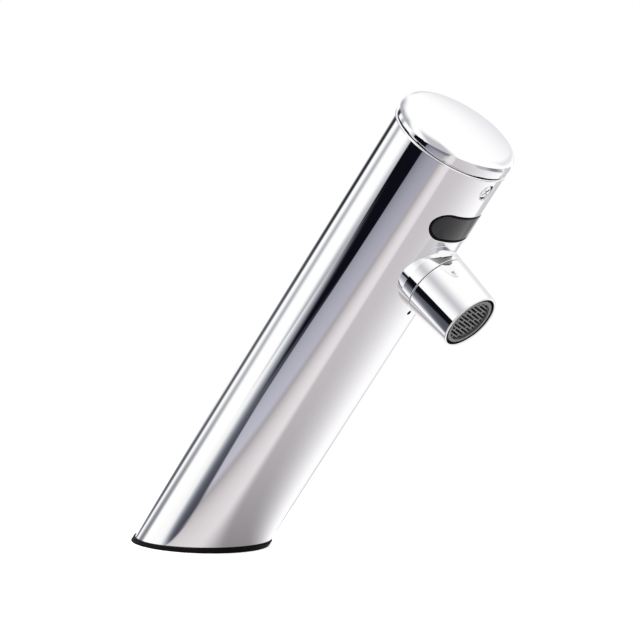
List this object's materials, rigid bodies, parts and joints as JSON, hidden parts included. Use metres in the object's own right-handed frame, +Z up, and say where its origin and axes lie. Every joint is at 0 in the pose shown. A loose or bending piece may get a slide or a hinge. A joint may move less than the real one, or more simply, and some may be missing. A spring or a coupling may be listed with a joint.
{
  "type": "basin faucet",
  "caption": "Touch-free deck-mounted basin faucet: a chromed tube that leans forward, with a domed cap, an oval smoked sensor window and a short tapered spout with an aerator.",
  "frame": {"origin": "where the tube's axis meets the deck, on the underside of the base pad", "axes": "+Z up, square to the deck; the tube leans and the spout points towards -Y, where the user stands; +X is to the user's right"},
  "size_m": [0.0512, 0.1879, 0.1897],
  "materials": {
    "chrome": "polished chrome plate",
    "brass": "machined brass",
    "copper": "drawn copper pipe",
    "steel": "satin stainless steel",
    "rubber": "black rubber, dull",
    "smoked_plastic": "dark smoked plastic that lets infrared through",
    "black_plastic": "moulded black plastic",
    "dark_plastic": "glass-filled nylon",
    "grey_plastic": "grey moulded plastic",
    "white_plastic": "natural acetal",
    "blue_plastic": "blue moulded plastic",
    "board": "green solder mask",
    "clear_lens": "clear epoxy",
    "coil": "overmoulded coil"
  },
  "bodies": {
    "root": {"body_tube": "chrome", "foot_block": "brass", "base_pad": "rubber", "cable_grommet": "rubber", "top_cap": "chrome", "cap_seal": "rubber", "sensor_window": "smoked_plastic", "window_seal": "rubber", "sensor_housing": "black_plastic", "ir_emitter": "clear_lens", "ir_receiver": "smoked_plastic", "sensor_board": "board", "board_screws": "steel", "spout_collar": "chrome", "spout_nipple": "brass", "spout_washer": "rubber", "waterway_block": "dark_plastic", "outlet_pipe": "copper", "inlet_pipe": "copper", "pipe_seals": "rubber", "inlet_fitting": "brass", "inlet_strainer": "steel", "check_spring": "steel", "valve_body": "dark_plastic", "diaphragm": "rubber", "valve_bonnet": "dark_plastic", "bonnet_screws": "steel", "core_tube": "steel", "plunger_spring": "steel", "solenoid_coil": "coil", "coil_terminals": "brass", "coil_yoke": "steel", "coil_nut": "steel"},
    "aerator_cartridge": {"aerator_grille": "grey_plastic", "aerator_screen": "steel", "aerator_mixer": "white_plastic", "flow_regulator": "blue_plastic", "aerator_washer": "rubber"},
    "aerator_sleeve": {"aerator_housing": "chrome"},
    "cap_screw": {"cap_screw": "steel"},
    "plunger": {"plunger": "steel"},
    "disc": {"diaphragm_disc": "white_plastic"},
    "check": {"check_poppet": "white_plastic"}
  },
  "joints": [
    {"name": "aerator_travel", "type": "slide", "parent": "root", "child": "aerator_cartridge", "axis": [0, -0.766, -0.6428], "range_m": [0, 0.0076]},
    {"name": "aerator_turn", "type": "hinge", "parent": "aerator_cartridge", "child": "aerator_sleeve", "pos_m": [0, -0.10386, 0.13294], "axis": [0, -0.766, -0.6428], "range_deg": [0, 2700]},
    {"name": "cap_screw_turn", "type": "hinge", "parent": "root", "child": "cap_screw", "pos_m": [0, -0.12966, 0.16595], "axis": [0, -0.788, -0.6157], "continuous": true},
    {"name": "plunger_slide", "type": "slide", "parent": "root", "child": "plunger", "axis": [0, -0.6157, 0.788], "range_m": [0, 0.0015], "stiffness_N_per_m": 250, "springref_m": -0.002, "deforming": ["plunger_spring"]},
    {"name": "disc_slide", "type": "slide", "parent": "root", "child": "disc", "axis": [0, -0.6157, 0.788], "range_m": [0, 0.0012], "deforming": ["diaphragm"]},
    {"name": "check_slide", "type": "slide", "parent": "root", "child": "check", "axis": [0, 0, 1], "range_m": [0, 0.002], "stiffness_N_per_m": 120, "springref_m": -0.002, "deforming": ["check_spring"]}
  ],
  "couplings": [
    {"joint": "aerator_travel", "follows": "aerator_turn", "m_per_rad": 0.00015915},
    {"joint": "disc_slide", "follows": "plunger_slide", "ratio": 0.8}
  ]
}
